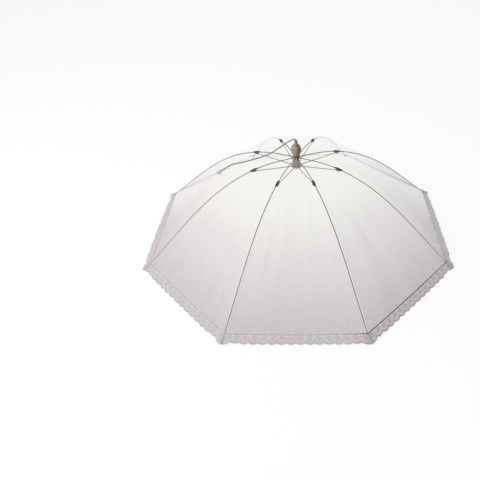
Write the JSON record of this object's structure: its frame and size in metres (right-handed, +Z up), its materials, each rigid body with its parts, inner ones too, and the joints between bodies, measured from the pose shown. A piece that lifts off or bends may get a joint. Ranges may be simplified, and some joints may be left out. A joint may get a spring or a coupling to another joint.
{
  "type": "mesh food cover umbrella",
  "caption": "Folding dome food cover of fine white mesh on bowed wire ribs, with struts, a sliding runner, a knob with a pull cord and a scalloped lace trim.",
  "frame": {"origin": "centre of the octagon that the rib tips stand on, at table height", "axes": "+Z up along the dome's axis; flat sides of the octagon face +X, -X, +Y and -Y, and -Y is the front"},
  "size_m": [0.782, 0.782, 0.2784],
  "materials": {
    "beige_plastic": "moulded beige plastic, satin",
    "runner_plastic": "moulded greenish beige plastic, slightly translucent",
    "rib_steel": "dark grey spring wire",
    "strut_steel": "pale warm grey wire",
    "ring_steel": "bright thin wire",
    "black_plastic": "moulded black plastic",
    "net": "fine white net",
    "lace": "white machine lace with a scalloped edge",
    "cord": "round pale cord"
  },
  "bodies": {
    "crown": {"rib_crown": "runner_plastic", "crown_wire": "ring_steel", "net_washer": "beige_plastic", "top_knob": "beige_plastic", "finial": "beige_plastic", "cord_inner": "cord", "pull_cord": "cord", "cord_bead": "cord"},
    "rib_1": {"rib_1": "rib_steel", "rib_joint_1": "black_plastic", "rib_tip_1": "black_plastic", "net_panel_1": "net", "lace_trim_1": "lace"},
    "rib_2": {"rib_2": "rib_steel", "rib_joint_2": "black_plastic", "rib_tip_2": "black_plastic", "net_panel_2": "net", "lace_trim_2": "lace"},
    "rib_3": {"rib_3": "rib_steel", "rib_joint_3": "black_plastic", "rib_tip_3": "black_plastic", "net_panel_3": "net", "lace_trim_3": "lace"},
    "rib_4": {"rib_4": "rib_steel", "rib_joint_4": "black_plastic", "rib_tip_4": "black_plastic", "net_panel_4": "net", "lace_trim_4": "lace"},
    "rib_5": {"rib_5": "rib_steel", "rib_joint_5": "black_plastic", "rib_tip_5": "black_plastic", "net_panel_5": "net", "lace_trim_5": "lace"},
    "rib_6": {"rib_6": "rib_steel", "rib_joint_6": "black_plastic", "rib_tip_6": "black_plastic", "net_panel_6": "net", "lace_trim_6": "lace"},
    "rib_7": {"rib_7": "rib_steel", "rib_joint_7": "black_plastic", "rib_tip_7": "black_plastic", "net_panel_7": "net", "lace_trim_7": "lace"},
    "rib_8": {"rib_8": "rib_steel", "rib_joint_8": "black_plastic", "rib_tip_8": "black_plastic", "net_panel_8": "net", "lace_trim_8": "lace"},
    "strut_1": {"strut_1": "strut_steel"},
    "strut_2": {"strut_2": "strut_steel"},
    "strut_3": {"strut_3": "strut_steel"},
    "strut_4": {"strut_4": "strut_steel"},
    "strut_5": {"strut_5": "strut_steel"},
    "strut_6": {"strut_6": "strut_steel"},
    "strut_7": {"strut_7": "strut_steel"},
    "strut_8": {"strut_8": "strut_steel"},
    "runner": {"runner": "runner_plastic", "runner_wire": "ring_steel", "cord_knot": "cord"}
  },
  "joints": [
    {"name": "rib_1_fold", "type": "hinge", "parent": "crown", "child": "rib_1", "pos_m": [0.00702, 0.00291, 0.22701], "axis": [-0.3827, 0.9239, 0], "range_deg": [0, 57], "deforming": ["net_panel_1", "lace_trim_1"]},
    {"name": "rib_2_fold", "type": "hinge", "parent": "crown", "child": "rib_2", "pos_m": [0.00291, 0.00702, 0.22701], "axis": [-0.9239, 0.3827, 0], "range_deg": [0, 57], "deforming": ["net_panel_2", "lace_trim_2"]},
    {"name": "rib_3_fold", "type": "hinge", "parent": "crown", "child": "rib_3", "pos_m": [-0.00291, 0.00702, 0.22701], "axis": [-0.9239, -0.3827, 0], "range_deg": [0, 57], "deforming": ["net_panel_3", "lace_trim_3"]},
    {"name": "rib_4_fold", "type": "hinge", "parent": "crown", "child": "rib_4", "pos_m": [-0.00702, 0.00291, 0.22701], "axis": [-0.3827, -0.9239, 0], "range_deg": [0, 57], "deforming": ["net_panel_4", "lace_trim_4"]},
    {"name": "rib_5_fold", "type": "hinge", "parent": "crown", "child": "rib_5", "pos_m": [-0.00702, -0.00291, 0.22701], "axis": [0.3827, -0.9239, 0], "range_deg": [0, 57], "deforming": ["net_panel_5", "lace_trim_5"]},
    {"name": "rib_6_fold", "type": "hinge", "parent": "crown", "child": "rib_6", "pos_m": [-0.00291, -0.00702, 0.22701], "axis": [0.9239, -0.3827, 0], "range_deg": [0, 57], "deforming": ["net_panel_6", "lace_trim_6"]},
    {"name": "rib_7_fold", "type": "hinge", "parent": "crown", "child": "rib_7", "pos_m": [0.00291, -0.00702, 0.22701], "axis": [0.9239, 0.3827, 0], "range_deg": [0, 57], "deforming": ["net_panel_7", "lace_trim_7"]},
    {"name": "rib_8_fold", "type": "hinge", "parent": "crown", "child": "rib_8", "pos_m": [0.00702, -0.00291, 0.22701], "axis": [0.3827, 0.9239, 0], "range_deg": [0, 57], "deforming": ["net_panel_8", "lace_trim_8"]},
    {"name": "strut_1_swing", "type": "hinge", "parent": "rib_1", "child": "strut_1", "pos_m": [0.10128, 0.04195, 0.2153], "axis": [-0.3827, 0.9239, 0], "range_deg": [-114, 0]},
    {"name": "strut_2_swing", "type": "hinge", "parent": "rib_2", "child": "strut_2", "pos_m": [0.04195, 0.10128, 0.2153], "axis": [-0.9239, 0.3827, 0], "range_deg": [-114, 0]},
    {"name": "strut_3_swing", "type": "hinge", "parent": "rib_3", "child": "strut_3", "pos_m": [-0.04195, 0.10128, 0.2153], "axis": [-0.9239, -0.3827, 0], "range_deg": [-114, 0]},
    {"name": "strut_4_swing", "type": "hinge", "parent": "rib_4", "child": "strut_4", "pos_m": [-0.10128, 0.04195, 0.2153], "axis": [-0.3827, -0.9239, 0], "range_deg": [-114, 0]},
    {"name": "strut_5_swing", "type": "hinge", "parent": "rib_5", "child": "strut_5", "pos_m": [-0.10128, -0.04195, 0.2153], "axis": [0.3827, -0.9239, 0], "range_deg": [-114, 0]},
    {"name": "strut_6_swing", "type": "hinge", "parent": "rib_6", "child": "strut_6", "pos_m": [-0.04195, -0.10128, 0.2153], "axis": [0.9239, -0.3827, 0], "range_deg": [-114, 0]},
    {"name": "strut_7_swing", "type": "hinge", "parent": "rib_7", "child": "strut_7", "pos_m": [0.04195, -0.10128, 0.2153], "axis": [0.9239, 0.3827, 0], "range_deg": [-114, 0]},
    {"name": "strut_8_swing", "type": "hinge", "parent": "rib_8", "child": "strut_8", "pos_m": [0.10128, -0.04195, 0.2153], "axis": [0.3827, 0.9239, 0], "range_deg": [-114, 0]},
    {"name": "runner_hinge", "type": "hinge", "parent": "strut_1", "child": "runner", "pos_m": [0.00702, 0.00291, 0.20359], "axis": [-0.3827, 0.9239, 0], "range_deg": [0, 57]}
  ],
  "couplings": [
    {"joint": "rib_2_fold", "follows": "rib_1_fold", "ratio": 1},
    {"joint": "rib_3_fold", "follows": "rib_1_fold", "ratio": 1},
    {"joint": "rib_4_fold", "follows": "rib_1_fold", "ratio": 1},
    {"joint": "rib_5_fold", "follows": "rib_1_fold", "ratio": 1},
    {"joint": "rib_6_fold", "follows": "rib_1_fold", "ratio": 1},
    {"joint": "rib_7_fold", "follows": "rib_1_fold", "ratio": 1},
    {"joint": "rib_8_fold", "follows": "rib_1_fold", "ratio": 1},
    {"joint": "strut_1_swing", "follows": "rib_1_fold", "ratio": -2},
    {"joint": "strut_2_swing", "follows": "rib_1_fold", "ratio": -2},
    {"joint": "strut_3_swing", "follows": "rib_1_fold", "ratio": -2},
    {"joint": "strut_4_swing", "follows": "rib_1_fold", "ratio": -2},
    {"joint": "strut_5_swing", "follows": "rib_1_fold", "ratio": -2},
    {"joint": "strut_6_swing", "follows": "rib_1_fold", "ratio": -2},
    {"joint": "strut_7_swing", "follows": "rib_1_fold", "ratio": -2},
    {"joint": "strut_8_swing", "follows": "rib_1_fold", "ratio": -2},
    {"joint": "runner_hinge", "follows": "rib_1_fold", "ratio": 1}
  ]
}
